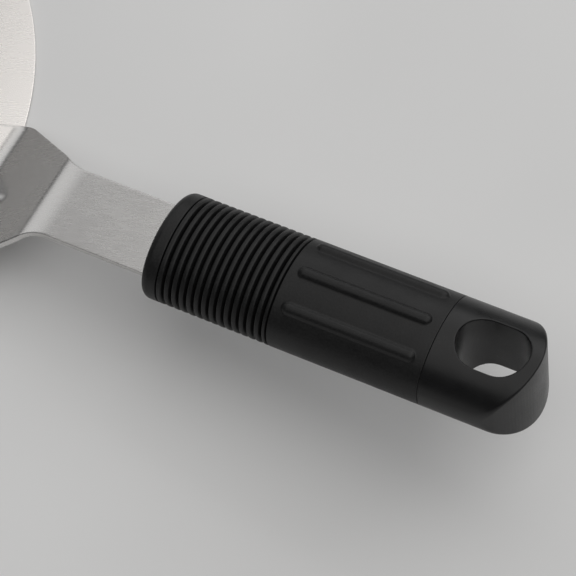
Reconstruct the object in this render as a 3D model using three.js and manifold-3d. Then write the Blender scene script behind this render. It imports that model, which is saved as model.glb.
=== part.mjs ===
// Round pizza server: a stainless plate, a cranked neck welded on top of it,
// and a hard handle core with a soft ribbed grip moulded round it.
// Millimetres, +Z up, +X from the plate towards the handle.
// The origin is the centre of the plate's underside.

import * as THREE from "three";
import { mergeVertices } from "three/addons/utils/BufferGeometryUtils.js";
import Module from "manifold-3d";

const wasm = await Module();
wasm.setup();

// Shared clearances
const fitGap = 0.3;
const overrun = 2;

// The round plate that carries the pizza
const plate = {
  diameter: 228,
  thickness: 1,
  edgeBevel: 0.25,
  sides: 96,
};

// The neck: one strip with a foot on the plate, a riser and a tang
const neck = {
  thickness: 2,
  bendInset: 3.1,
  riserRun: 28,
  riserRise: 21.2,
  tangAngle: 6.2,
  lowerBendRadius: 10.5,
  upperBendRadius: 14,
  footLength: 46,
  footTipHalfWidth: 14.5,
  noseLength: 11,
  cornerHalfWidth: 30.5,
  cornerRise: 2.4,
  cornerBlend: 10,
  riserTopHalfWidth: 14.7,
  flareBlend: 12.5,
  tangWidth: 25.9,
  exposedTang: 41.3,
  shoulderDepth: 11,
  shoulderLength: 4.5,
  hiddenWidth: 17,
  hiddenSetback: 16,
  lockingHoles: 3,
  lockingHoleDiameter: 6,
};

// The stiffening rib pressed across the lower bend
const pressedRib = {
  halfLength: 15.8,
  halfWidth: 13.6,
  height: 3.4,
};

// The soft grip
const grip = {
  width: 36.4,
  height: 27.6,
  length: 92,
  wall: 3.2,
  frontWall: 3.2,
  frontRounding: 2.4,
  sides: 36,
};

const ribs = {
  count: 15,
  pitch: 2.53,
  firstGroove: 5.62,
  firstPitch: 2.27,
  lastPitch: 1.9,
  grooveWidth: 1.25,
  firstGrooveWidth: 0.55,
  lastGrooveWidth: 0.75,
  grooveDepth: 1.15,
  grooveDraft: 0.12,
};

const bars = {
  radius: 1.9,
  proud: 1.4,
  spread: 11.4,
  frontGap: 3.2,
  rearGap: 3,
};

// The bare end of the hard core, with the hanging hole
const end = {
  length: 31.3,
  arcRadius: 21,
  cornerLength: 13,
  arcHalfAngle: 50,
  holeFromEnd: 14.85,
  holeLength: 22.2,
  holeWidth: 16.8,
};

const degree = Math.PI / 180;

// Materials
const plateSteel = new THREE.MeshStandardMaterial({ color: 0xd9d6d0, roughness: 0.3, metalness: 0.95 });
const neckSteel = new THREE.MeshStandardMaterial({ color: 0xb9b9b8, roughness: 0.36, metalness: 0.95 });
const hardBlack = new THREE.MeshStandardMaterial({ color: 0x151516, roughness: 0.34, metalness: 0 });
const softBlack = new THREE.MeshStandardMaterial({ color: 0x1b1b1d, roughness: 0.72, metalness: 0 });

// Solids and booleans

function toSolid(geometry) {
  const bare = geometry.index ? geometry.clone() : geometry;
  bare.deleteAttribute("normal");
  bare.deleteAttribute("uv");
  const merged = mergeVertices(bare);
  const mesh = new wasm.Mesh({
    numProp: 3,
    vertProperties: new Float32Array(merged.attributes.position.array),
    triVerts: new Uint32Array(merged.index.array),
  });
  return new wasm.Manifold(mesh);
}

function toGeometry(solid) {
  const mesh = solid.getMesh();
  const geometry = new THREE.BufferGeometry();
  geometry.setAttribute("position", new THREE.BufferAttribute(new Float32Array(mesh.vertProperties), 3));
  geometry.setIndex(new THREE.BufferAttribute(new Uint32Array(mesh.triVerts), 1));
  geometry.computeVertexNormals();
  return geometry;
}

function boxSolid(lowX, highX, width, height) {
  const geometry = new THREE.BoxGeometry(highX - lowX, width, height);
  geometry.translate((lowX + highX) / 2, 0, 0);
  return toSolid(geometry);
}

function gridGeometry(positions, triangles) {
  const geometry = new THREE.BufferGeometry();
  geometry.setAttribute("position", new THREE.Float32BufferAttribute(positions, 3));
  geometry.setIndex(triangles);
  return geometry;
}

// An oval bar along X: each ring is { x, width, height }
function ovalLoft(rings, sides) {
  const positions = [];
  const triangles = [];
  for (const ring of rings) {
    for (let i = 0; i < sides; i += 1) {
      const angle = (2 * Math.PI * i) / sides;
      positions.push(ring.x, (ring.width / 2) * Math.cos(angle), (ring.height / 2) * Math.sin(angle));
    }
  }
  for (let k = 0; k + 1 < rings.length; k += 1) {
    for (let i = 0; i < sides; i += 1) {
      const a = k * sides + i;
      const b = k * sides + ((i + 1) % sides);
      triangles.push(a, b, b + sides, a, b + sides, a + sides);
    }
  }
  const last = (rings.length - 1) * sides;
  for (let i = 1; i + 1 < sides; i += 1) {
    triangles.push(0, i + 1, i);
    triangles.push(last, last + i, last + i + 1);
  }
  return gridGeometry(positions, triangles);
}

// The plate

function plateGeometry() {
  const radius = plate.diameter / 2;
  const bevel = Math.min(plate.edgeBevel, plate.thickness / 3);
  const profile = [
    new THREE.Vector2(0, 0),
    new THREE.Vector2(radius - bevel, 0),
    new THREE.Vector2(radius, bevel),
    new THREE.Vector2(radius, plate.thickness - bevel),
    new THREE.Vector2(radius - bevel, plate.thickness),
    new THREE.Vector2(0, plate.thickness),
  ];
  const geometry = new THREE.LatheGeometry(profile, plate.sides);
  geometry.rotateX(Math.PI / 2);
  return toGeometry(toSolid(geometry));
}

// The neck's middle line in the XZ plane: straight runs joined by two bends

const riserAngle = Math.atan2(neck.riserRise, neck.riserRun);
const tangAngle = neck.tangAngle * degree;
const riserLength = Math.hypot(neck.riserRun, neck.riserRise);
const lowerCorner = new THREE.Vector2(
  plate.diameter / 2 - neck.bendInset,
  plate.thickness + neck.thickness / 2,
);
const upperCorner = new THREE.Vector2(lowerCorner.x + neck.riserRun, lowerCorner.y + neck.riserRise);
const hiddenLength = grip.length - neck.hiddenSetback;

// A place s on the middle line is measured from the lower corner, as if the bends were sharp
const upperS = riserLength;
const tangEndS = upperS + neck.exposedTang + hiddenLength;

function bend(s, cornerS, corner, angleIn, angleOut, radius) {
  const turn = angleOut - angleIn;
  const reach = radius * Math.tan(Math.abs(turn) / 2);
  const share = (s - cornerS + reach) / (2 * reach);
  const angle = angleIn + turn * share;
  const side = Math.sign(turn);
  const startX = corner.x - reach * Math.cos(angleIn);
  const startZ = corner.y - reach * Math.sin(angleIn);
  return {
    x: startX + side * radius * (Math.sin(angle) - Math.sin(angleIn)),
    z: startZ - side * radius * (Math.cos(angle) - Math.cos(angleIn)),
    angle,
  };
}

const lowerReach = neck.lowerBendRadius * Math.tan(riserAngle / 2);
const upperReach = neck.upperBendRadius * Math.tan((riserAngle - tangAngle) / 2);

function onMiddleLine(s) {
  if (s <= -lowerReach) {
    return { x: lowerCorner.x + s, z: lowerCorner.y, angle: 0 };
  }
  if (s < lowerReach) {
    return bend(s, 0, lowerCorner, 0, riserAngle, neck.lowerBendRadius);
  }
  if (s <= upperS - upperReach) {
    return {
      x: lowerCorner.x + s * Math.cos(riserAngle),
      z: lowerCorner.y + s * Math.sin(riserAngle),
      angle: riserAngle,
    };
  }
  if (s < upperS + upperReach) {
    return bend(s, upperS, upperCorner, riserAngle, tangAngle, neck.upperBendRadius);
  }
  return {
    x: upperCorner.x + (s - upperS) * Math.cos(tangAngle),
    z: upperCorner.y + (s - upperS) * Math.sin(tangAngle),
    angle: tangAngle,
  };
}

// The strip widens up to a rounded corner just above the lower bend, then narrows up the riser
const footSlope = (neck.cornerHalfWidth - neck.footTipHalfWidth) / (neck.footLength + neck.cornerRise);
const flareSlope = (neck.riserTopHalfWidth - neck.cornerHalfWidth) / (upperS - neck.cornerRise);

function footHalfWidth(s) {
  const straight = neck.cornerHalfWidth + footSlope * (s - neck.cornerRise);
  const noseShare = Math.max(0, 1 - (neck.footLength + s) / neck.noseLength);
  return straight * Math.sqrt(1 - noseStartShare * noseShare * noseShare);
}

function cornerHalfWidth(s) {
  const reach = neck.cornerBlend / 2;
  const share = (s - neck.cornerRise) / neck.cornerBlend + 0.5;
  return neck.cornerHalfWidth - footSlope * reach * (1 - share) ** 2 + flareSlope * reach * share ** 2;
}

// Half the strip's width at a place on the middle line
function stripHalfWidth(s) {
  const tang = neck.tangWidth / 2;
  if (s <= neck.cornerRise - neck.cornerBlend / 2) {
    return footHalfWidth(s);
  }
  if (s < neck.cornerRise + neck.cornerBlend / 2) {
    return cornerHalfWidth(s);
  }
  const flareEnd = upperS + neck.flareBlend / 2;
  const flareStart = upperS - neck.flareBlend / 2;
  const from = neck.cornerHalfWidth + flareSlope * (flareStart - neck.cornerRise);
  if (s <= flareStart) {
    return from + flareSlope * (s - flareStart);
  }
  if (s < flareEnd) {
    // A smooth blend from the flare's slope to the tang's parallel edge
    const share = (s - flareStart) / (flareEnd - flareStart);
    const startSlope = flareSlope * (flareEnd - flareStart);
    const square = share * share;
    const cube = square * share;
    return (2 * cube - 3 * square + 1) * from + (cube - 2 * square + share) * startSlope
      + (3 * square - 2 * cube) * tang;
  }
  const shoulderS = upperS + neck.exposedTang + neck.shoulderDepth;
  const hidden = neck.hiddenWidth / 2;
  const shoulderShare = (s - shoulderS) / neck.shoulderLength;
  return tang + (hidden - tang) * Math.min(Math.max(shoulderShare, 0), 1);
}

// How far the pressed rib lifts the strip: a dart that comes to a point up the riser and on the foot
function ribLift(s, y) {
  const along = Math.abs(s) / pressedRib.halfLength;
  const across = Math.abs(y) / pressedRib.halfWidth;
  return pressedRib.height * Math.max(0, 1 - along - across);
}

// The nose keeps this share of its squared width away at the very tip
const noseStartShare = 0.62;
const columnShares = [-1, -0.7, -0.44, -0.33, -0.22, -0.11, 0, 0.11, 0.22, 0.33, 0.44, 0.7, 1];
const noseShares = [0, 0.06, 0.2, 0.42, 0.7, 1];
const riserShares = [0.2, 0.35, 0.5, 0.62, 0.8];
const ribShares = [-1, -0.8, -0.6, -0.4, 0.4, 0.6, 0.8, 1];
const bendShares = [-1, -0.66, -0.33, 0, 0.33, 0.66, 1];
const flareShares = [-1, -0.6, -0.2, 0.2, 0.6, 1];
const cornerShares = [-1, -0.5, 0, 0.5, 1];

function stationPlaces() {
  const places = [];
  for (const share of noseShares) {
    places.push(-neck.footLength + share * neck.noseLength);
  }
  for (const share of ribShares) {
    places.push(share * pressedRib.halfLength);
  }
  for (const share of bendShares) {
    places.push(share * lowerReach);
    places.push(upperS + share * upperReach);
  }
  for (const share of riserShares) {
    places.push(lowerReach + share * (upperS - upperReach - lowerReach));
  }
  for (const share of flareShares) {
    places.push(upperS + (share * neck.flareBlend) / 2);
  }
  for (const share of cornerShares) {
    places.push(neck.cornerRise + (share * neck.cornerBlend) / 2);
  }
  const shoulderS = upperS + neck.exposedTang + neck.shoulderDepth;
  places.push(shoulderS, shoulderS + neck.shoulderLength, tangEndS);
  places.sort((a, b) => a - b);
  const leastStep = neck.thickness / 10;
  return places.filter((place, i) => i === 0 || place - places[i - 1] > leastStep);
}

function stripGeometry() {
  const places = stationPlaces();
  const columns = columnShares.length;
  const positions = [];
  const triangles = [];
  for (const side of [1, -1]) {
    for (const s of places) {
      const { x, z, angle } = onMiddleLine(s);
      for (const share of columnShares) {
        const y = share * stripHalfWidth(s);
        const offset = (side * neck.thickness) / 2 + ribLift(s, y);
        positions.push(x - offset * Math.sin(angle), y, z + offset * Math.cos(angle));
      }
    }
  }
  const bottom = places.length * columns;
  for (let k = 0; k + 1 < places.length; k += 1) {
    for (let j = 0; j + 1 < columns; j += 1) {
      const a = k * columns + j;
      const c = a + columns;
      triangles.push(a, c, c + 1, a, c + 1, a + 1);
      triangles.push(bottom + a, bottom + c + 1, bottom + c, bottom + a, bottom + a + 1, bottom + c + 1);
    }
    const low = k * columns;
    const high = low + columns - 1;
    const under = bottom + low;
    const underHigh = bottom + high;
    triangles.push(low, under + columns, low + columns, low, under, under + columns);
    triangles.push(high, high + columns, underHigh + columns, high, underHigh + columns, underHigh);
  }
  const last = (places.length - 1) * columns;
  for (let j = 0; j + 1 < columns; j += 1) {
    triangles.push(j, j + 1, bottom + j + 1, j, bottom + j + 1, bottom + j);
    const a = last + j;
    triangles.push(a, bottom + a + 1, a + 1, a, bottom + a, bottom + a + 1);
  }
  return gridGeometry(positions, triangles);
}

// The handle's own frame starts at the grip's front face, on the tang's middle plane
const handleFront = new THREE.Vector3(
  upperCorner.x + neck.exposedTang * Math.cos(tangAngle),
  0,
  upperCorner.y + neck.exposedTang * Math.sin(tangAngle),
);

function lockingPlaces() {
  const first = neck.shoulderDepth + neck.shoulderLength;
  const room = hiddenLength - first;
  const places = [];
  for (let i = 0; i < neck.lockingHoles; i += 1) {
    places.push(first + (room * (i + 0.5)) / neck.lockingHoles);
  }
  return places;
}

function lockingPost(x, diameter, height) {
  const sides = 20;
  const geometry = new THREE.CylinderGeometry(diameter / 2, diameter / 2, height, sides);
  geometry.rotateX(Math.PI / 2);
  geometry.translate(x, 0, 0);
  return geometry;
}

function neckGeometry() {
  let solid = toSolid(stripGeometry());
  for (const x of lockingPlaces()) {
    const hole = lockingPost(x, neck.lockingHoleDiameter, neck.thickness + 2 * overrun);
    hole.rotateY(-tangAngle);
    hole.translate(handleFront.x, handleFront.y, handleFront.z);
    solid = solid.subtract(toSolid(hole));
  }
  return toGeometry(solid);
}

// The room that the tang takes in the handle, from the front face inwards
function tangRoom() {
  const height = neck.thickness + 2 * fitGap;
  const wide = boxSolid(
    -overrun,
    neck.shoulderDepth + neck.shoulderLength + fitGap,
    neck.tangWidth + 2 * fitGap,
    height,
  );
  const narrow = boxSolid(-overrun, hiddenLength + fitGap, neck.hiddenWidth + 2 * fitGap, height);
  return wide.add(narrow);
}

// The grip's outside: rounded front, ribs, then a plain oval to the seam

function grooveCentres() {
  const centres = [{ x: ribs.firstGroove, width: ribs.firstGrooveWidth }];
  const second = ribs.firstGroove + ribs.firstPitch;
  for (let i = 0; i + 1 < ribs.count; i += 1) {
    centres.push({ x: second + i * ribs.pitch, width: ribs.grooveWidth });
  }
  const lastRegular = centres[centres.length - 1].x;
  centres.push({ x: lastRegular + ribs.lastPitch, width: ribs.lastGrooveWidth });
  return centres;
}

const lastGroove = grooveCentres()[ribs.count];

function gripRing(x, drop) {
  return { x, width: grip.width - 2 * drop, height: grip.height - 2 * drop };
}

function gripRings() {
  const rings = [];
  const frontSteps = 3;
  for (let i = 0; i <= frontSteps; i += 1) {
    const angle = (Math.PI / 2) * (i / frontSteps);
    const x = grip.frontRounding * (1 - Math.cos(angle));
    const drop = grip.frontRounding * (1 - Math.sin(angle));
    rings.push(gripRing(x, drop));
  }
  grooveCentres().forEach((groove) => {
    const half = groove.width / 2;
    rings.push(gripRing(groove.x - half, 0));
    rings.push(gripRing(groove.x - half + ribs.grooveDraft, ribs.grooveDepth));
    rings.push(gripRing(groove.x + half - ribs.grooveDraft, ribs.grooveDepth));
    rings.push(gripRing(groove.x + half, 0));
  });
  rings.push(gripRing(grip.length, 0));
  return rings;
}

// One raised bar lies along the grip at sideways place y, on the upper or the lower side
function barSolid(y, side) {
  const capSteps = 4;
  const roundSteps = 12;
  const low = lastGroove.x + bars.frontGap;
  const high = grip.length - bars.rearGap;
  const straight = high - low - 2 * bars.radius;
  const geometry = new THREE.CapsuleGeometry(bars.radius, straight, capSteps, roundSteps);
  geometry.rotateZ(Math.PI / 2);
  const across = y / (grip.width / 2);
  const surfaceZ = (grip.height / 2) * Math.sqrt(1 - across * across);
  // The oval's outward normal at the bar
  const normal = new THREE.Vector2(y / grip.width ** 2, surfaceZ / grip.height ** 2).normalize();
  const sink = bars.radius - bars.proud;
  geometry.translate((low + high) / 2, y - normal.x * sink, side * (surfaceZ - normal.y * sink));
  return toSolid(geometry);
}

function gripGeometry() {
  let solid = toSolid(ovalLoft(gripRings(), grip.sides));
  for (const side of [1, -1]) {
    for (const y of [-bars.spread, 0, bars.spread]) {
      solid = solid.add(barSolid(y, side));
    }
  }
  const cavity = ovalLoft([
    gripRing(grip.frontWall, grip.wall),
    gripRing(grip.length + overrun, grip.wall),
  ], grip.sides);
  solid = solid.subtract(toSolid(cavity)).subtract(tangRoom());
  return toGeometry(solid);
}

// The core: a spine inside the grip and the bare end behind it

const handleLength = grip.length + end.length;

// The bare end seen from above: parallel sides, rounded corners and a wide arc
function endPlan() {
  const centreX = handleLength - end.arcRadius;
  const angle = end.arcHalfAngle * degree;
  const side = grip.width / 2;
  const arcX = centreX + end.arcRadius * Math.cos(angle);
  const arcY = end.arcRadius * Math.sin(angle);
  // The arc's tangent meets the side line here
  const meetX = arcX - (side - arcY) * Math.tan(angle);
  const startX = Math.max(meetX - end.cornerLength / 2, grip.length + fitGap);
  const frontX = grip.length - overrun;
  const shape = new THREE.Shape();
  shape.moveTo(frontX, -side);
  shape.lineTo(startX, -side);
  shape.quadraticCurveTo(meetX, -side, arcX, -arcY);
  shape.absarc(centreX, 0, end.arcRadius, -angle, angle, false);
  shape.quadraticCurveTo(meetX, side, startX, side);
  shape.lineTo(frontX, side);
  shape.closePath();
  return shape;
}

function uprightPrism(shape, curveSegments) {
  const height = grip.height + 2 * overrun;
  const geometry = new THREE.ExtrudeGeometry(shape, { depth: height, bevelEnabled: false, curveSegments });
  geometry.translate(0, 0, -height / 2);
  return toSolid(geometry);
}

function hangingHole() {
  const radius = end.holeWidth / 2;
  const half = Math.max(end.holeLength / 2 - radius, 0);
  const centreX = handleLength - end.holeFromEnd;
  const shape = new THREE.Shape();
  shape.moveTo(centreX - half, -radius);
  shape.lineTo(centreX + half, -radius);
  shape.absarc(centreX + half, 0, radius, -Math.PI / 2, Math.PI / 2, false);
  shape.lineTo(centreX - half, radius);
  shape.absarc(centreX - half, 0, radius, Math.PI / 2, (3 * Math.PI) / 2, false);
  return uprightPrism(shape, 10);
}

function coreGeometry() {
  const drop = grip.wall + fitGap;
  const spine = ovalLoft([
    gripRing(grip.frontWall + fitGap, drop),
    gripRing(grip.length + fitGap + overrun, drop),
  ], grip.sides);
  const bareEnd = ovalLoft([
    gripRing(grip.length + fitGap, 0),
    gripRing(handleLength + overrun, 0),
  ], grip.sides);
  let solid = toSolid(bareEnd).intersect(uprightPrism(endPlan(), 12));
  solid = solid.add(toSolid(spine)).subtract(tangRoom());
  for (const x of lockingPlaces()) {
    const diameter = neck.lockingHoleDiameter - 2 * fitGap;
    solid = solid.add(toSolid(lockingPost(x, diameter, neck.thickness + 2 * fitGap + 2 * overrun)));
  }
  solid = solid.subtract(hangingHole());
  return toGeometry(solid);
}

// Assembly

function piece(name, geometry, material) {
  const mesh = new THREE.Mesh(geometry, material);
  mesh.name = name;
  return mesh;
}

const server = new THREE.Group();
server.add(piece("blade_plate", plateGeometry(), plateSteel));
server.add(piece("neck_tang", neckGeometry(), neckSteel));

const handle = new THREE.Group();
handle.position.copy(handleFront);
handle.rotation.y = -tangAngle;
handle.add(piece("handle_core", coreGeometry(), hardBlack));
handle.add(piece("grip_sleeve", gripGeometry(), softBlack));
server.add(handle);

export default server;
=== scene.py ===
"""Looks of a round pizza server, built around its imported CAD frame.

Sizes are in millimetres, in the frame of the part: +X from the plate towards the handle, +Z up.
"""

import math

import bpy
import numpy as np
from mathutils import Matrix, Vector


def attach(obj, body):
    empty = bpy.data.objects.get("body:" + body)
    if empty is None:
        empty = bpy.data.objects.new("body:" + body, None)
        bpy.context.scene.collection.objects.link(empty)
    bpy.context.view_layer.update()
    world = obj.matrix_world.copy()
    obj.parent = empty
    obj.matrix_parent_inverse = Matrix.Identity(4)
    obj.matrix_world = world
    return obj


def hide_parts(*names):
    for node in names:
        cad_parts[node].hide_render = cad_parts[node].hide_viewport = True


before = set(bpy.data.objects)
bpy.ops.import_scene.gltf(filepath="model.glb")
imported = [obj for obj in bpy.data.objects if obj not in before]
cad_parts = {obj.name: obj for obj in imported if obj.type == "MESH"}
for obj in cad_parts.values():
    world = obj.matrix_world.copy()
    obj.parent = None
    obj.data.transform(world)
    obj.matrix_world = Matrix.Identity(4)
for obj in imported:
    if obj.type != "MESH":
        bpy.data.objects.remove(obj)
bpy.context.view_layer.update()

MM = 0.001

# Plate
PLATE_RADIUS = 114.0
PLATE_THICKNESS = 1.0
PLATE_EDGE = 0.12
PLATE_SEGMENTS = 360

# Neck strip
NECK_THICKNESS = 2.0
NECK_EDGE = 0.32
BEND_INSET = 3.1
RISER_RUN = 28.0
RISER_RISE = 21.2
TANG_ANGLE = math.radians(6.2)
LOWER_BEND_RADIUS = 10.5
UPPER_BEND_IN = 3.5
UPPER_BEND_OUT = 7.2
FOOT_LENGTH = 46.0
FOOT_TIP_HALF = 14.5
NOSE_LENGTH = 11.0
NOSE_START_SHARE = 0.62
CORNER_HALF = 30.5
CORNER_RISE = 2.4
CORNER_BLEND = 10.0
RISER_TOP_HALF = 14.7
FLARE_BLEND = 12.5
TANG_WIDTH = 25.9
EXPOSED_TANG = 41.3
SHOULDER_DEPTH = 11.0
SHOULDER_LENGTH = 4.5
HIDDEN_WIDTH = 17.0
HIDDEN_SETBACK = 16.0
LOCKING_HOLES = 3
LOCKING_HOLE_RADIUS = 3.0
FIT_GAP = 0.3

# Stiffening dart pressed across the lower bend
DART_HALF_LENGTH = 15.8
DART_HALF_WIDTH = 13.6
DART_HEIGHT = 3.4
DART_LEVEL_SHARE = 1.02
CREST_SHARES = (0.06, 0.08)
DART_SOFT_SHARE = 0.05
DART_SINK_SHARE = 0.001
DART_MARGIN = 2.0
BEND_MARGIN = 8.0

# Soft grip
GRIP_WIDTH = 36.4
GRIP_HEIGHT = 27.6
GRIP_LENGTH = 92.0
GRIP_WALL = 3.2
FRONT_ROUNDING = 2.4
GRIP_SIDES = 288
SUPPORT = 0.1
ARC_STEPS = 7200

# Grip ribs
RIB_COUNT = 15
RIB_PITCH = 2.53
FIRST_GROOVE = 5.62
FIRST_PITCH = 2.27
LAST_PITCH = 1.9
GROOVE_WIDTH = 1.2
FIRST_GROOVE_WIDTH = 0.5
LAST_GROOVE_WIDTH = 0.7
GROOVE_DEPTH = 1.9
NARROW_GROOVE_DEPTH = 1.2
GROOVE_FILLET = 0.04
RIB_ROUNDING = 0.55
NARROW_ROUNDING = 0.22
LIP_STEPS = 5

# Raised bars on the grip
BAR_HALF_WIDTH = 1.83
BAR_PROUD = 1.35
BAR_SPREAD = 11.4
BAR_FRONT_GAP = 3.2
BAR_REAR_GAP = 3.0
BAR_END_SHARE = 1.4

# Bare end of the core
END_LENGTH = 31.3
ARC_RADIUS = 21.0
CORNER_LENGTH = 13.0
ARC_HALF_ANGLE = math.radians(50)
HOLE_FROM_END = 14.85
HOLE_LENGTH = 22.2
HOLE_WIDTH = 16.8
CREASE_ROUNDING = 0.6
RIM_ROUNDING = 0.4
SEAM_ROUNDING = 0.2
SEAM_GAP = 0.06
CORE_OVERLAP = 2.0
POST_OVERLAP = 1.0
PLAN_OVERLAP = 4.0


# Meshes

def new_piece(name, points, faces, material):
    """A smooth mesh object from points in millimetres."""
    mesh = bpy.data.meshes.new(name)
    mesh.from_pydata((np.asarray(points) * MM).tolist(), [], faces)
    mesh.validate()
    mesh.polygons.foreach_set("use_smooth", [True] * len(mesh.polygons))
    mesh.update()
    piece = bpy.data.objects.new(name, mesh)
    bpy.context.scene.collection.objects.link(piece)
    mesh.materials.append(material)
    return piece


def ring_faces(rings, count):
    """Quads between closed rings of equal length, facing outwards for rings that run along their axis."""
    faces = []
    for k in range(rings - 1):
        for i in range(count):
            a = k * count + i
            b = k * count + (i + 1) % count
            faces.append((a, b, b + count, a + count))
    return faces


# Neck strip: its middle line, and its outline

RISER_ANGLE = math.atan2(RISER_RISE, RISER_RUN)
RISER_LENGTH = math.hypot(RISER_RUN, RISER_RISE)
LOWER_CORNER = (PLATE_RADIUS - BEND_INSET, PLATE_THICKNESS + NECK_THICKNESS / 2)
UPPER_CORNER = (LOWER_CORNER[0] + RISER_RUN, LOWER_CORNER[1] + RISER_RISE)
LOWER_REACH = LOWER_BEND_RADIUS * math.tan(RISER_ANGLE / 2)
HIDDEN_LENGTH = GRIP_LENGTH - HIDDEN_SETBACK
SEAM = GRIP_LENGTH + FIT_GAP / 2
HANDLE_FRONT = (
    UPPER_CORNER[0] + EXPOSED_TANG * math.cos(TANG_ANGLE),
    UPPER_CORNER[1] + EXPOSED_TANG * math.sin(TANG_ANGLE),
)
FOOT_SLOPE = (CORNER_HALF - FOOT_TIP_HALF) / (FOOT_LENGTH + CORNER_RISE)
FLARE_SLOPE = (RISER_TOP_HALF - CORNER_HALF) / (RISER_LENGTH - CORNER_RISE)


def lower_bend(s):
    angle = RISER_ANGLE * (s + LOWER_REACH) / (2 * LOWER_REACH)
    x = LOWER_CORNER[0] - LOWER_REACH + LOWER_BEND_RADIUS * math.sin(angle)
    return x, LOWER_CORNER[1] + LOWER_BEND_RADIUS * (1 - math.cos(angle)), angle


def upper_bend(s):
    """Tight where it leaves the riser, then easing out along the tang."""
    t = (s - RISER_LENGTH + UPPER_BEND_IN) / (UPPER_BEND_IN + UPPER_BEND_OUT)
    before = -UPPER_BEND_IN * (1 - t)
    after = UPPER_BEND_OUT * t
    x = UPPER_CORNER[0] + before * (1 - t) * math.cos(RISER_ANGLE) + after * t * math.cos(TANG_ANGLE)
    z = UPPER_CORNER[1] + before * (1 - t) * math.sin(RISER_ANGLE) + after * t * math.sin(TANG_ANGLE)
    run = -before * math.cos(RISER_ANGLE) + after * math.cos(TANG_ANGLE)
    rise = -before * math.sin(RISER_ANGLE) + after * math.sin(TANG_ANGLE)
    return x, z, math.atan2(rise, run)


def on_middle_line(s):
    if s <= -LOWER_REACH:
        return LOWER_CORNER[0] + s, LOWER_CORNER[1], 0.0
    if s < LOWER_REACH:
        return lower_bend(s)
    if s <= RISER_LENGTH - UPPER_BEND_IN:
        x = LOWER_CORNER[0] + s * math.cos(RISER_ANGLE)
        return x, LOWER_CORNER[1] + s * math.sin(RISER_ANGLE), RISER_ANGLE
    if s < RISER_LENGTH + UPPER_BEND_OUT:
        return upper_bend(s)
    past = s - RISER_LENGTH
    x = UPPER_CORNER[0] + past * math.cos(TANG_ANGLE)
    return x, UPPER_CORNER[1] + past * math.sin(TANG_ANGLE), TANG_ANGLE


def strip_half_width(s):
    tang = TANG_WIDTH / 2
    if s <= CORNER_RISE - CORNER_BLEND / 2:
        straight = CORNER_HALF + FOOT_SLOPE * (s - CORNER_RISE)
        nose = max(0.0, 1 - (FOOT_LENGTH + s) / NOSE_LENGTH)
        return straight * math.sqrt(1 - NOSE_START_SHARE * nose * nose)
    if s < CORNER_RISE + CORNER_BLEND / 2:
        share = (s - CORNER_RISE) / CORNER_BLEND + 0.5
        half = CORNER_BLEND / 2
        return CORNER_HALF - FOOT_SLOPE * half * (1 - share) ** 2 + FLARE_SLOPE * half * share ** 2
    start = RISER_LENGTH - FLARE_BLEND / 2
    flare_width = CORNER_HALF + FLARE_SLOPE * (start - CORNER_RISE)
    if s <= start:
        return flare_width + FLARE_SLOPE * (s - start)
    if s < start + FLARE_BLEND:
        t = (s - start) / FLARE_BLEND
        slope = FLARE_SLOPE * FLARE_BLEND
        return (
            (2 * t ** 3 - 3 * t ** 2 + 1) * flare_width
            + (t ** 3 - 2 * t ** 2 + t) * slope
            + (3 * t ** 2 - 2 * t ** 3) * tang
        )
    shoulder = (s - RISER_LENGTH - EXPOSED_TANG - SHOULDER_DEPTH) / SHOULDER_LENGTH
    return tang + (HIDDEN_WIDTH / 2 - tang) * min(max(shoulder, 0.0), 1.0)


def dart_lift(s, y):
    """A pressed dart with a rounded crest, which comes to a point up the riser and on the foot."""
    along = np.hypot(s / DART_HALF_LENGTH, CREST_SHARES[0])
    across = np.hypot(y / DART_HALF_WIDTH, CREST_SHARES[1])
    level = DART_LEVEL_SHARE - along - across
    # The dart's sides blend softly into the flat sheet
    return DART_HEIGHT / 2 * (level + np.hypot(level, DART_SOFT_SHARE) - DART_SINK_SHARE)


def neck_section(half_width, half_thickness, edge):
    """The strip's closed section as (across, through) pairs: top, right side, bottom, left side."""
    corner_steps = 4
    columns = 61
    quarter = np.linspace(0, math.pi / 2, corner_steps + 1)
    flat = np.linspace(-1, 1, columns) * (half_width - edge)
    top = np.stack([flat, np.full(columns, half_thickness)], 1)
    right_top = np.stack([
        half_width - edge + edge * np.sin(quarter[1:]),
        half_thickness - edge + edge * np.cos(quarter[1:]),
    ], 1)
    right_low = right_top[::-1] * (1, -1)
    low = top[::-1] * (1, -1)
    left = np.concatenate([right_low[::-1], right_top[::-1]]) * (-1, 1)
    return np.concatenate([top, right_top, right_low, low, left])


def neck_places():
    """Places along the middle line, closest together on the nose, the dart and the bends."""
    nose = -FOOT_LENGTH + NOSE_LENGTH
    dart = DART_HALF_LENGTH + DART_MARGIN
    shoulder = RISER_LENGTH + EXPOSED_TANG + SHOULDER_DEPTH
    stretches = [
        np.linspace(-FOOT_LENGTH, nose, 26),
        np.linspace(nose, -dart, 14),
        np.linspace(-dart, dart, 76),
        np.linspace(dart, RISER_LENGTH - BEND_MARGIN, 12),
        np.linspace(RISER_LENGTH - BEND_MARGIN, RISER_LENGTH + BEND_MARGIN, 61),
        np.linspace(RISER_LENGTH + BEND_MARGIN, shoulder, 20),
        np.linspace(shoulder, shoulder + SHOULDER_LENGTH, 4),
        np.linspace(shoulder + SHOULDER_LENGTH, RISER_LENGTH + EXPOSED_TANG + HIDDEN_LENGTH, 12),
    ]
    return np.unique(np.round(np.concatenate(stretches), 4))


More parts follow.
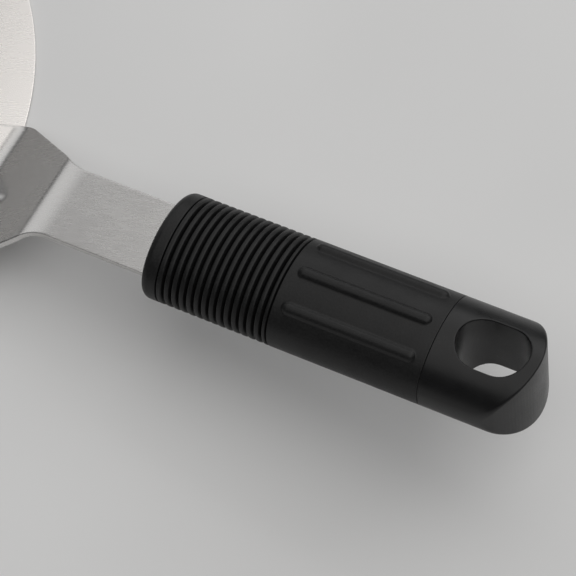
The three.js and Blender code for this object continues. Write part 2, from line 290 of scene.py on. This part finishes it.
def neck_stations():
    """(place, half thickness) along the strip: at both ends the section closes over a rounded edge."""
    half = NECK_THICKNESS / 2
    places = neck_places()
    edge = [
        (NECK_EDGE * (1 - math.cos(t)), half - NECK_EDGE * (1 - math.sin(t)))
        for t in np.linspace(0, math.pi / 2, 5)
    ]
    stations = [(places[0] + inset, thick) for inset, thick in edge]
    stations += [(s, half) for s in places[1:-1]]
    return stations + [(places[-1] - inset, thick) for inset, thick in edge[::-1]]


def neck_mesh():
    half = NECK_THICKNESS / 2
    rings = []
    for s, thick in neck_stations():
        inset = half - thick
        x, z, angle = on_middle_line(s)
        section = neck_section(strip_half_width(s) - inset, thick, min(NECK_EDGE, thick * 0.9))
        y = section[:, 0]
        offset = section[:, 1] + dart_lift(s, y)
        rings.append(np.stack([x - offset * math.sin(angle), y, z + offset * math.cos(angle)], 1))
    count = len(rings[0])
    faces = ring_faces(len(rings), count)
    faces.append(tuple(range(count))[::-1])
    faces.append(tuple((len(rings) - 1) * count + i for i in range(count)))
    faces = [face[::-1] for face in faces]
    return np.concatenate(rings), faces


# The handle's own frame: its origin is the middle of the grip's front face

def from_handle(points):
    x, y, z = np.asarray(points, float).T
    cos, sin = math.cos(TANG_ANGLE), math.sin(TANG_ANGLE)
    return np.stack([HANDLE_FRONT[0] + x * cos - z * sin, y, HANDLE_FRONT[1] + x * sin + z * cos], 1)


def locking_places():
    first = SHOULDER_DEPTH + SHOULDER_LENGTH
    room = HIDDEN_LENGTH - first
    return [first + room * (i + 0.5) / LOCKING_HOLES for i in range(LOCKING_HOLES)]


def cut_locking_holes(piece):
    """Cuts the holes that the core's posts pass through."""
    sides, reach = 32, 2 * NECK_THICKNESS
    angles = np.linspace(0, 2 * math.pi, sides, endpoint=False)
    points, faces = [], []
    for place in locking_places():
        start = len(points) * sides
        for height in (-reach, reach):
            points.append(np.stack([
                place + LOCKING_HOLE_RADIUS * np.cos(angles),
                LOCKING_HOLE_RADIUS * np.sin(angles),
                np.full(sides, height),
            ], 1))
        faces += [tuple(start + i for i in face) for face in ring_faces(2, sides)]
        faces.append(tuple(start + i for i in range(sides))[::-1])
        faces.append(tuple(start + sides + i for i in range(sides)))
    cutter = new_piece("cutter", from_handle(np.concatenate(points)), faces, piece.data.materials[0])
    cut = piece.modifiers.new("locking_holes", "BOOLEAN")
    cut.operation = "DIFFERENCE"
    cut.solver = "EXACT"
    cut.object = cutter
    view = bpy.context.evaluated_depsgraph_get()
    view.update()
    holed = bpy.data.meshes.new_from_object(piece.evaluated_get(view))
    piece.modifiers.clear()
    piece.data = holed
    bpy.data.objects.remove(cutter)


# Plate

def plate_mesh():
    turns = np.linspace(0, math.pi / 2, 5)
    radii = list(np.linspace(4, PLATE_RADIUS - PLATE_EDGE - 0.6, 24)) + [PLATE_RADIUS - PLATE_EDGE - 0.25]
    upper = [(radius, PLATE_THICKNESS) for radius in radii]
    upper += [
        (PLATE_RADIUS - PLATE_EDGE * (1 - math.sin(t)), PLATE_THICKNESS - PLATE_EDGE * (1 - math.cos(t)))
        for t in turns
    ]
    profile = upper + [(radius, PLATE_THICKNESS - height) for radius, height in upper[::-1]]
    angles = np.linspace(0, 2 * math.pi, PLATE_SEGMENTS, endpoint=False)
    rings = [
        np.stack([radius * np.cos(angles), radius * np.sin(angles), np.full(PLATE_SEGMENTS, height)], 1)
        for radius, height in profile
    ]
    faces = [face[::-1] for face in ring_faces(len(rings), PLATE_SEGMENTS)]
    centre_top = len(rings) * PLATE_SEGMENTS
    last = (len(rings) - 1) * PLATE_SEGMENTS
    for i in range(PLATE_SEGMENTS):
        j = (i + 1) % PLATE_SEGMENTS
        faces.append((centre_top, i, j))
        faces.append((centre_top + 1, last + j, last + i))
    points = np.concatenate(rings + [np.array([[0, 0, PLATE_THICKNESS], [0, 0, 0]])])
    return points, faces


# Soft grip

def grooves():
    """The middle and the half width of each groove between the collar and the plain grip."""
    places = [(FIRST_GROOVE, FIRST_GROOVE_WIDTH / 2)]
    second = FIRST_GROOVE + FIRST_PITCH
    places += [(second + i * RIB_PITCH, GROOVE_WIDTH / 2) for i in range(RIB_COUNT - 1)]
    return places + [(places[-1][0] + LAST_PITCH, LAST_GROOVE_WIDTH / 2)]


BAR_LOW = grooves()[-1][0] + BAR_FRONT_GAP
BAR_HIGH = GRIP_LENGTH - BAR_REAR_GAP


def groove_side(half, depth, rounding):
    """(distance from the groove's middle, drop) from the rib's flat top down to the bottom."""
    wall = math.atan2(depth, half)
    start = half + rounding * math.tan(wall / 2)
    side = [(start + GROOVE_FILLET, 0.0)]
    for turn in np.linspace(0, wall, LIP_STEPS):
        side.append((start - rounding * math.sin(turn), rounding * (1 - math.cos(turn))))
    side.append((GROOVE_FILLET, depth * (1 - GROOVE_FILLET / half)))
    return side


def grip_stations():
    """(x, drop) of the grip's outside from the front face to the seam."""
    turns = np.linspace(0, math.pi / 2, 9)
    stations = [(FRONT_ROUNDING * (1 - math.cos(t)), FRONT_ROUNDING * (1 - math.sin(t))) for t in turns]
    stations.append((FRONT_ROUNDING + SUPPORT, 0.0))
    for middle, half in grooves():
        wide = half >= GROOVE_WIDTH / 2
        depth = GROOVE_DEPTH if wide else NARROW_GROOVE_DEPTH
        side = groove_side(half, depth, RIB_ROUNDING if wide else NARROW_ROUNDING)
        stations += [(middle - away, drop) for away, drop in side]
        stations.append((middle, depth))
        stations += [(middle + away, drop) for away, drop in reversed(side)]
    end = BAR_HALF_WIDTH * BAR_END_SHARE
    plain = [
        *np.linspace(stations[-1][0] + 3 * SUPPORT, BAR_LOW - 4 * SUPPORT, 5),
        *np.linspace(BAR_LOW - SUPPORT, BAR_LOW + end, 14),
        *np.linspace(BAR_LOW + end, BAR_HIGH - end, 30)[1:-1],
        *np.linspace(BAR_HIGH - end, BAR_HIGH + SUPPORT, 14),
        *np.linspace(BAR_HIGH + 4 * SUPPORT, SEAM - SEAM_ROUNDING - 2 * SUPPORT, 4),
    ]
    stations += [(x, 0.0) for x in plain]
    for t in np.linspace(math.pi / 2, 0, 5):
        x = SEAM - SEAM_GAP / 2 - SEAM_ROUNDING * (1 - math.cos(t))
        stations.append((x, SEAM_ROUNDING * (1 - math.sin(t))))
    return stations


def oval(drop, angles):
    return (GRIP_WIDTH / 2 - drop) * np.cos(angles), (GRIP_HEIGHT / 2 - drop) * np.sin(angles)


def arc_places(angles):
    """Length round the outer oval from its +Y side, at each angle."""
    fine = np.linspace(0, 2 * math.pi, ARC_STEPS + 1)
    y, z = oval(0, fine)
    length = np.concatenate([[0], np.cumsum(np.hypot(np.diff(y), np.diff(z)))])
    return np.interp(angles, fine, length)


def even_angles(count):
    """Angles that space points evenly round the outer oval."""
    fine = np.linspace(0, 2 * math.pi, ARC_STEPS + 1)
    places = arc_places(fine)
    return np.interp(np.linspace(0, places[-1], count, endpoint=False), places, fine)


def bar_height(x, angles):
    """How far the raised bars stand out of the oval at x, round the whole ring."""
    places = arc_places(angles)
    height = np.zeros(len(angles))
    for side in (1, -1):
        for y in (-BAR_SPREAD, 0.0, BAR_SPREAD):
            y_share = 2 * y / GRIP_WIDTH
            middle_angle = math.atan2(side * math.sqrt(1 - y_share ** 2), y_share)
            middle = arc_places(np.array([middle_angle % (2 * math.pi)]))[0]
            across = np.abs(places - middle)
            along = max(BAR_LOW + BAR_HALF_WIDTH - x, x - (BAR_HIGH - BAR_HALF_WIDTH), 0.0)
            reach = np.hypot(across, along) / BAR_HALF_WIDTH
            cap = BAR_PROUD * np.sqrt(np.clip(1 - reach ** 2, 0, 1))
            height = np.maximum(height, cap)
    return height


def slot_outline(angles):
    """The tang's opening in the front wall, one point for each ring angle."""
    half_width = TANG_WIDTH / 2 + FIT_GAP
    half_height = NECK_THICKNESS / 2 + FIT_GAP
    y, z = oval(0, angles)
    scale = np.maximum(np.abs(y) / half_width, np.abs(z) / half_height)
    return y / scale, z / scale


def grip_mesh():
    angles = even_angles(GRIP_SIDES)
    rings = []
    outer_y, outer_z = oval(0, angles)
    normal = np.stack([outer_y / (GRIP_WIDTH / 2) ** 2, outer_z / (GRIP_HEIGHT / 2) ** 2], 1)
    normal /= np.linalg.norm(normal, axis=1, keepdims=True)
    slot_y, slot_z = slot_outline(angles)
    front_y, front_z = oval(FRONT_ROUNDING, angles)
    cavity_y, cavity_z = oval(GRIP_WALL, angles)

    def add(x, y, z):
        rings.append(np.stack([np.full(GRIP_SIDES, float(x)), y, z], 1))

    # Cavity from the seam inwards, the tang's slot, the front face, then the outside back to the seam
    for x in np.linspace(SEAM - SEAM_GAP / 2, GRIP_WALL, 4):
        add(x, cavity_y, cavity_z)
    for share in (0.7, 0.35, 0.05, 0):
        add(GRIP_WALL, slot_y + (cavity_y - slot_y) * share, slot_z + (cavity_z - slot_z) * share)
    for share in (0.65, 0.08):
        add(GRIP_WALL * share, slot_y, slot_z)
    for share in (0.02, 0.3, 0.7, 0.95):
        add(0, slot_y + (front_y - slot_y) * share, slot_z + (front_z - slot_z) * share)
    for x, drop in grip_stations():
        y, z = oval(drop, angles)
        if BAR_LOW < x < BAR_HIGH:
            lift = bar_height(x, angles)
            y = y + lift * normal[:, 0]
            z = z + lift * normal[:, 1]
        add(x, y, z)
    for drop in np.linspace(SEAM_ROUNDING, GRIP_WALL, 4)[1:-1]:
        y, z = oval(drop, angles)
        add(SEAM - SEAM_GAP / 2, y, z)
    count = len(rings)
    faces = ring_faces(count, GRIP_SIDES)
    last = (count - 1) * GRIP_SIDES
    for i in range(GRIP_SIDES):
        j = (i + 1) % GRIP_SIDES
        faces.append((last + i, last + j, j, i))
    return np.concatenate(rings), faces


# Hard core, drawn from a field that is negative inside it

def round_join(a, b, radius):
    """The room inside both fields, with a rounded edge where they meet."""
    near_a = np.maximum(a + radius, 0)
    near_b = np.maximum(b + radius, 0)
    return np.minimum(np.maximum(a, b), -radius) + np.hypot(near_a, near_b)


def oval_field(y, z, drop):
    half_width, half_height = GRIP_WIDTH / 2 - drop, GRIP_HEIGHT / 2 - drop
    level = np.hypot(y / half_width, z / half_height)
    slope = np.hypot(y / half_width ** 2, z / half_height ** 2)
    return level * (level - 1) / np.maximum(slope, 1e-6)


def end_plan():
    """The bare end seen from above, as half-planes (normal x, normal y, reach)."""
    centre_x = GRIP_LENGTH + END_LENGTH - ARC_RADIUS
    side = GRIP_WIDTH / 2
    arc_x = centre_x + ARC_RADIUS * math.cos(ARC_HALF_ANGLE)
    arc_y = ARC_RADIUS * math.sin(ARC_HALF_ANGLE)
    meet_x = arc_x - (side - arc_y) * math.tan(ARC_HALF_ANGLE)
    start_x = max(meet_x - CORNER_LENGTH / 2, GRIP_LENGTH + FIT_GAP)
    outline = [(centre_x + ARC_RADIUS * math.cos(t), ARC_RADIUS * math.sin(t))
               for t in np.linspace(0, ARC_HALF_ANGLE, 17)]
    for t in np.linspace(0, 1, 17)[1:]:
        x = (1 - t) ** 2 * arc_x + 2 * t * (1 - t) * meet_x + t * t * start_x
        y = (1 - t) ** 2 * arc_y + 2 * t * (1 - t) * side + t * t * side
        outline.append((x, y))
    outline.append((GRIP_LENGTH - PLAN_OVERLAP, side))
    planes = []
    for (x0, y0), (x1, y1) in zip(outline, outline[1:]):
        length = math.hypot(x1 - x0, y1 - y0)
        normal = ((y1 - y0) / length, -(x1 - x0) / length)
        planes.append((normal[0], normal[1], normal[0] * x0 + normal[1] * y0))
    return planes


END_PLAN = end_plan()


def plan_field(x, y):
    field = np.full(x.shape, -1e3)
    for normal_x, normal_y, reach in END_PLAN:
        field = np.maximum(field, normal_x * x + normal_y * np.abs(y) - reach)
    return field


def hole_field(x, y):
    radius = HOLE_WIDTH / 2
    half = HOLE_LENGTH / 2 - radius
    centre_x = GRIP_LENGTH + END_LENGTH - HOLE_FROM_END
    past = np.maximum(np.abs(x - centre_x) - half, 0)
    return np.hypot(past, y) - radius


def core_field(points):
    x, y, z = points.T
    block = round_join(oval_field(y, z, 0), plan_field(x, y), CREASE_ROUNDING)
    block = round_join(block, SEAM + SEAM_GAP / 2 - x, SEAM_ROUNDING)
    block = round_join(block, -hole_field(x, y), RIM_ROUNDING)
    spine = np.maximum(oval_field(y, z, GRIP_WALL + FIT_GAP), GRIP_WALL + FIT_GAP - x)
    spine = np.maximum(spine, x - GRIP_LENGTH - CORE_OVERLAP)
    solid = np.minimum(block, spine)
    half_height = NECK_THICKNESS / 2 + FIT_GAP
    shoulder = SHOULDER_DEPTH + SHOULDER_LENGTH
    wide = np.maximum(np.abs(y) - TANG_WIDTH / 2 - FIT_GAP, x - shoulder - FIT_GAP)
    narrow = np.maximum(np.abs(y) - HIDDEN_WIDTH / 2 - FIT_GAP, x - HIDDEN_LENGTH - FIT_GAP)
    slot = np.maximum(np.minimum(wide, narrow), np.abs(z) - half_height)
    solid = np.maximum(solid, -slot)
    for place in locking_places():
        round_post = np.hypot(x - place, y) - LOCKING_HOLE_RADIUS + FIT_GAP
        solid = np.minimum(solid, np.maximum(round_post, np.abs(z) - half_height - POST_OVERLAP))
    return solid


def surface_net(field, lines):
    """Points and quads on a field's zero level: one point in each grid cell that the surface crosses."""
    grid = np.meshgrid(*lines, indexing="ij")
    values = field(np.stack([part.ravel() for part in grid], 1)).reshape(grid[0].shape)
    inside = values < 0
    cells = tuple(n - 1 for n in values.shape)
    total = np.zeros(cells + (3,))
    number = np.zeros(cells)
    crossings = []
    for axis in range(3):
        low = tuple(slice(0, -1) if k == axis else slice(None) for k in range(3))
        high = tuple(slice(1, None) if k == axis else slice(None) for k in range(3))
        change = inside[low] != inside[high]
        gap = values[low] - values[high]
        share = np.where(change, values[low] / np.where(change, gap, 1), 0)
        place = [part[low] for part in grid]
        place[axis] = place[axis] + share * (grid[axis][high] - grid[axis][low])
        place = np.stack(place, -1)
        others = [k for k in range(3) if k != axis]
        for step_a in (0, 1):
            for step_b in (0, 1):
                spans = [slice(None)] * 3
                for k, step in zip(others, (step_a, step_b)):
                    spans[k] = slice(step, cells[k] + step)
                part = change[tuple(spans)]
                number += part
                total += place[tuple(spans)] * part[..., None]
        crossings.append((change, inside[low]))
    used = number > 0
    index = np.full(cells, -1)
    index[used] = np.arange(used.sum())
    points = total[used] / number[used][:, None]
    faces = []
    for axis, (change, inward) in enumerate(crossings):
        b, c = (axis + 1) % 3, (axis + 2) % 3
        at = np.argwhere(change)
        keep = (at[:, b] > 0) & (at[:, c] > 0) & (at[:, b] < cells[b]) & (at[:, c] < cells[c])
        at = at[keep]
        quad = []
        for step_b, step_c in ((-1, -1), (0, -1), (0, 0), (-1, 0)):
            cell = at.copy()
            cell[:, b] += step_b
            cell[:, c] += step_c
            quad.append(index[tuple(cell.T)])
        quad = np.stack(quad, 1)
        outward = inward[tuple(at.T)]
        quad[~outward] = quad[~outward][:, ::-1]
        faces.append(quad)
    return points, np.concatenate(faces)


def field_slope(field, points):
    """How fast the field grows along each axis at the points."""
    step = 0.01
    slope = np.zeros_like(points)
    for axis in range(3):
        shift = np.zeros(3)
        shift[axis] = step
        slope[:, axis] = (field(points + shift) - field(points - shift)) / (2 * step)
    return slope


def settle(field, points):
    """Moves points onto the field's zero level, a short way at a time."""
    rounds, least_square, longest_move = 3, 0.25, 0.3
    for _ in range(rounds):
        slope = field_slope(field, points)
        square = np.maximum((slope * slope).sum(1), least_square)
        move = -(field(points) / square)[:, None] * slope
        length = np.linalg.norm(move, axis=1, keepdims=True)
        points = points + move * np.minimum(1, longest_move / np.maximum(length, 1e-9))
    return points


def core_mesh():
    """Points, faces and normals, from a grid that is coarse in the spine and fine at the seam."""
    spine_step, seam_step, end_step = 2.0, 0.08, 0.4
    spine_before, seam_before, seam_after, before, after = 0.7, 0.3, 0.9, 0.6, 0.8
    handle_end = GRIP_LENGTH + END_LENGTH
    lines_x = np.concatenate([
        np.arange(GRIP_WALL - spine_before, GRIP_LENGTH - spine_step / 2, spine_step),
        np.arange(GRIP_LENGTH - seam_before, GRIP_LENGTH + seam_after, seam_step),
        np.arange(GRIP_LENGTH + seam_after + end_step / 2, handle_end + after, end_step),
    ])
    lines_y = np.arange(-GRIP_WIDTH / 2 - before, GRIP_WIDTH / 2 + after, end_step)
    lines_z = np.arange(-GRIP_HEIGHT / 2 - before, GRIP_HEIGHT / 2 + after, end_step)
    points, faces = surface_net(core_field, (lines_x, lines_y, lines_z))
    points = settle(core_field, points)
    slope = field_slope(core_field, points)
    return points, faces.tolist(), slope / np.linalg.norm(slope, axis=1, keepdims=True)


# Materials

# Sockets of a mix node that blends colours
MIX_FACTOR, MIX_FIRST, MIX_SECOND, MIX_RESULT = 0, 6, 7, 2


def node_material(name):
    material = bpy.data.materials.new(name)
    material.use_nodes = True
    nodes = material.node_tree.nodes
    return material, nodes, material.node_tree.links, nodes["Principled BSDF"]


def object_noise(nodes, links, size, detail=3.0, turn=0.0, rough=0.5):
    """Noise in object coordinates: size is the grain's length along x, y and z in millimetres."""
    coords = nodes.new("ShaderNodeTexCoord")
    mapping = nodes.new("ShaderNodeMapping")
    mapping.vector_type = "POINT"
    mapping.inputs["Rotation"].default_value = (0, 0, turn)
    links.new(coords.outputs["Object"], mapping.inputs["Vector"])
    stretch = nodes.new("ShaderNodeMapping")
    stretch.inputs["Scale"].default_value = [1 / (MM * length) for length in size]
    links.new(mapping.outputs["Vector"], stretch.inputs["Vector"])
    noise = nodes.new("ShaderNodeTexNoise")
    noise.inputs["Scale"].default_value = 1.0
    noise.inputs["Detail"].default_value = detail
    noise.inputs["Roughness"].default_value = rough
    links.new(stretch.outputs["Vector"], noise.inputs["Vector"])
    return noise.outputs["Fac"]


def spread(nodes, links, value, low, high, from_low=0.3, from_high=0.7):
    """A value moved to the range low to high."""
    node = nodes.new("ShaderNodeMapRange")
    node.inputs["From Min"].default_value = from_low
    node.inputs["From Max"].default_value = from_high
    node.inputs["To Min"].default_value = low
    node.inputs["To Max"].default_value = high
    links.new(value, node.inputs["Value"])
    return node.outputs["Result"]


def blend_colours(nodes, links, factor, first, second):
    node = nodes.new("ShaderNodeMix")
    node.data_type = "RGBA"
    links.new(factor, node.inputs[MIX_FACTOR])
    node.inputs[MIX_FIRST].default_value = (*first, 1)
    node.inputs[MIX_SECOND].default_value = (*second, 1)
    return node.outputs[MIX_RESULT]


def add_values(nodes, links, first, second):
    node = nodes.new("ShaderNodeMath")
    node.operation = "ADD"
    links.new(first, node.inputs[0])
    links.new(second, node.inputs[1])
    return node.outputs["Value"]


def add_bump(nodes, links, height, distance, normal=None):
    node = nodes.new("ShaderNodeBump")
    node.inputs["Strength"].default_value = 1.0
    node.inputs["Distance"].default_value = distance * MM
    links.new(height, node.inputs["Height"])
    if normal is not None:
        links.new(normal, node.inputs["Normal"])
    return node.outputs["Normal"]


def brushed_steel(name, light, dark, roughness, turn, streak, height):
    """Satin stainless steel with fine brush lines and faint handling marks."""
    material, nodes, links, shader = node_material(name)
    shader.inputs["Metallic"].default_value = 1.0
    lines = object_noise(nodes, links, (streak, 0.55, streak), detail=3, turn=turn, rough=0.6)
    fine = object_noise(nodes, links, (streak * 0.4, 0.3, streak * 0.4), detail=2, turn=turn)
    smudge = object_noise(nodes, links, (26, 18, 22), detail=3, turn=turn + 0.4)
    tone = blend_colours(nodes, links, spread(nodes, links, lines, 0, 1), dark, light)
    links.new(tone, shader.inputs["Base Color"])
    satin = spread(nodes, links, lines, roughness - 0.012, roughness + 0.012)
    marks = spread(nodes, links, smudge, -0.01, 0.014)
    links.new(add_values(nodes, links, satin, marks), shader.inputs["Roughness"])
    normal = add_bump(nodes, links, lines, height)
    normal = add_bump(nodes, links, fine, height * 0.7, normal=normal)
    links.new(normal, shader.inputs["Normal"])
    return material


def paint_foot_light(material, colour):
    """Painted light: lifts the neck's foot to the plate's brighter tone, fading into the rest of the
    strip's tone over the lower bend.
    """
    nodes, links = material.node_tree.nodes, material.node_tree.links
    shader = nodes["Principled BSDF"]
    coords = nodes.new("ShaderNodeTexCoord")
    split = nodes.new("ShaderNodeSeparateXYZ")
    links.new(coords.outputs["Object"], split.inputs["Vector"])
    fade_start = (LOWER_CORNER[0] - LOWER_REACH) * MM
    fade_end = LOWER_CORNER[0] * MM
    share = spread(nodes, links, split.outputs["X"], 1, 0, fade_start, fade_end)
    blend = nodes.new("ShaderNodeMix")
    blend.data_type = "RGBA"
    links.new(share, blend.inputs[MIX_FACTOR])
    links.new(shader.inputs["Base Color"].links[0].from_socket, blend.inputs[MIX_FIRST])
    blend.inputs[MIX_SECOND].default_value = (*colour, 1)
    links.new(blend.outputs[MIX_RESULT], shader.inputs["Base Color"])


def moulded_black(name, dark, light, roughness, grain, grain_height, specular):
    """Black moulded plastic or rubber with a fine grain."""
    material, nodes, links, shader = node_material(name)
    shader.inputs["Specular IOR Level"].default_value = specular
    speck = object_noise(nodes, links, (grain,) * 3, detail=2, rough=0.6)
    cloud = object_noise(nodes, links, (7, 7, 7), detail=3)
    tone = blend_colours(nodes, links, spread(nodes, links, speck, 0, 1), dark, light)
    links.new(tone, shader.inputs["Base Color"])
    grainy = spread(nodes, links, speck, roughness - 0.05, roughness + 0.05)
    wear = spread(nodes, links, cloud, -0.04, 0.04)
    links.new(add_values(nodes, links, grainy, wear), shader.inputs["Roughness"])
    links.new(add_bump(nodes, links, speck, grain_height), shader.inputs["Normal"])
    return material


def pale_floor():
    material, nodes, links, shader = node_material("studio_floor")
    shader.inputs["Roughness"].default_value = 0.9
    shader.inputs["Specular IOR Level"].default_value = 0.2
    soft = spread(nodes, links, object_noise(nodes, links, (140, 140, 140), detail=2), 0, 1)
    tone = blend_colours(nodes, links, soft, (0.70, 0.70, 0.70), (0.74, 0.74, 0.74))
    links.new(tone, shader.inputs["Base Color"])
    return material


# Pieces

def dress(piece, node):
    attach(piece, "root")
    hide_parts(node)


plate_look = brushed_steel(
    "plate_steel_look", light=(0.885, 0.855, 0.83), dark=(0.86, 0.83, 0.805),
    roughness=0.27, turn=math.radians(-22), streak=8, height=0.0005,
)
neck_look = brushed_steel(
    "neck_steel_look", light=(0.645, 0.635, 0.625), dark=(0.61, 0.60, 0.59),
    roughness=0.27, turn=math.radians(-14.6), streak=5, height=0.00015,
)
# Painted light: the foot's colour is given the plate's brightness.
paint_foot_light(neck_look, (0.87, 0.84, 0.815))
soft_look = moulded_black(
    "soft_black_look", dark=(0.002, 0.002, 0.0022), light=(0.009, 0.009, 0.0092),
    roughness=0.44, grain=0.6, grain_height=0.04, specular=0.33,
)
hard_look = moulded_black(
    "hard_black_look", dark=(0.002, 0.002, 0.0023), light=(0.004, 0.004, 0.0043),
    roughness=0.34, grain=0.5, grain_height=0.008, specular=0.38,
)

plate = new_piece("server_plate", *plate_mesh(), plate_look)
dress(plate, "blade_plate")

neck = new_piece("server_neck", *neck_mesh(), neck_look)
cut_locking_holes(neck)
dress(neck, "neck_tang")

grip_points, grip_faces = grip_mesh()
grip = new_piece("server_grip", from_handle(grip_points), grip_faces, soft_look)
dress(grip, "grip_sleeve")

core_points, core_faces, core_slope = core_mesh()
core = new_piece("server_core", from_handle(core_points), core_faces, hard_look)
core_normals = from_handle(core_slope) - from_handle([[0, 0, 0]])
core.data.normals_split_custom_set_from_vertices(core_normals.tolist())
dress(core, "handle_core")


# Studio

def area_light(name, place, target, size, brightness, tint=(1, 1, 1)):
    """A soft panel that looks as bright as a surface of that radiance."""
    light = bpy.data.lights.new(name, "AREA")
    light.shape = "RECTANGLE"
    light.size, light.size_y = size
    light.energy = brightness * math.pi * size[0] * size[1]
    light.color = tint
    holder = bpy.data.objects.new(name, light)
    bpy.context.scene.collection.objects.link(holder)
    holder.location = place
    holder.rotation_euler = (Vector(target) - Vector(place)).to_track_quat("-Z", "Y").to_euler()


def studio_floor():
    reach = 4.0
    mesh = bpy.data.meshes.new("studio_floor")
    corners = [(-reach, -reach, 0), (reach, -reach, 0), (reach, reach, 0), (-reach, reach, 0)]
    mesh.from_pydata(corners, [], [(0, 1, 2, 3)])
    mesh.materials.append(pale_floor())
    floor = bpy.data.objects.new("studio_floor", mesh)
    bpy.context.scene.collection.objects.link(floor)
    floor.location.z = -0.0002


def studio_lights():
    """Three soft panels, in metres, and a dim room: steel mirrors them and nothing clips."""
    world = bpy.data.worlds.new("studio_world")
    bpy.context.scene.world = world
    world.use_nodes = True
    room = world.node_tree.nodes["Background"]
    room.inputs["Color"].default_value = (0.98, 0.99, 1.0, 1)
    room.inputs["Strength"].default_value = 0.12
    area_light("overhead", (0.61, 0.11, 1.2), (0.61, 0.11, 0.0), (2.074, 2.3), 1.06, (1.0, 0.99, 0.975))
    area_light("low_side", (-0.959, 0.663, 0.802), (0.139, 0.0, 0.025), (0.9, 0.87), 0.72)
    area_light("far_side", (0.34, 1.5, 1.08), (0.12, 0.0, 0.02), (2.6, 0.8), 1.2)


def camera():
    """The photograph's view: 27.3 degrees round, 60.15 degrees down, 850 mm from the grip's front."""
    azimuth, elevation = math.radians(27.3), math.radians(60.15)
    right = Vector((math.cos(azimuth), math.sin(azimuth), 0))
    up = Vector((
        -math.sin(azimuth) * math.sin(elevation),
        math.cos(azimuth) * math.sin(elevation),
        math.cos(elevation),
    ))
    back = right.cross(up)
    distance, scale, frame_px, sensor = 850.0, 3.32, 576.0, 36.0
    front = Vector((180.76, 0, 27.725))
    shown_at = (170.7, 244.65)
    eye = front + back * distance
    eye -= right * ((shown_at[0] - frame_px / 2) / scale)
    eye += up * ((shown_at[1] - frame_px / 2) / scale)
    lens = bpy.data.cameras.new("camera")
    lens.sensor_width = sensor
    lens.lens = sensor * scale * distance / frame_px
    lens.clip_start = 0.01
    holder = bpy.data.objects.new("camera", lens)
    bpy.context.scene.collection.objects.link(holder)
    turn = Matrix((right, up, back)).transposed().to_4x4()
    holder.matrix_world = Matrix.Translation(eye * MM) @ turn
    bpy.context.scene.camera = holder


studio_floor()
studio_lights()
camera()
bpy.context.scene.view_settings.view_transform = "Standard"
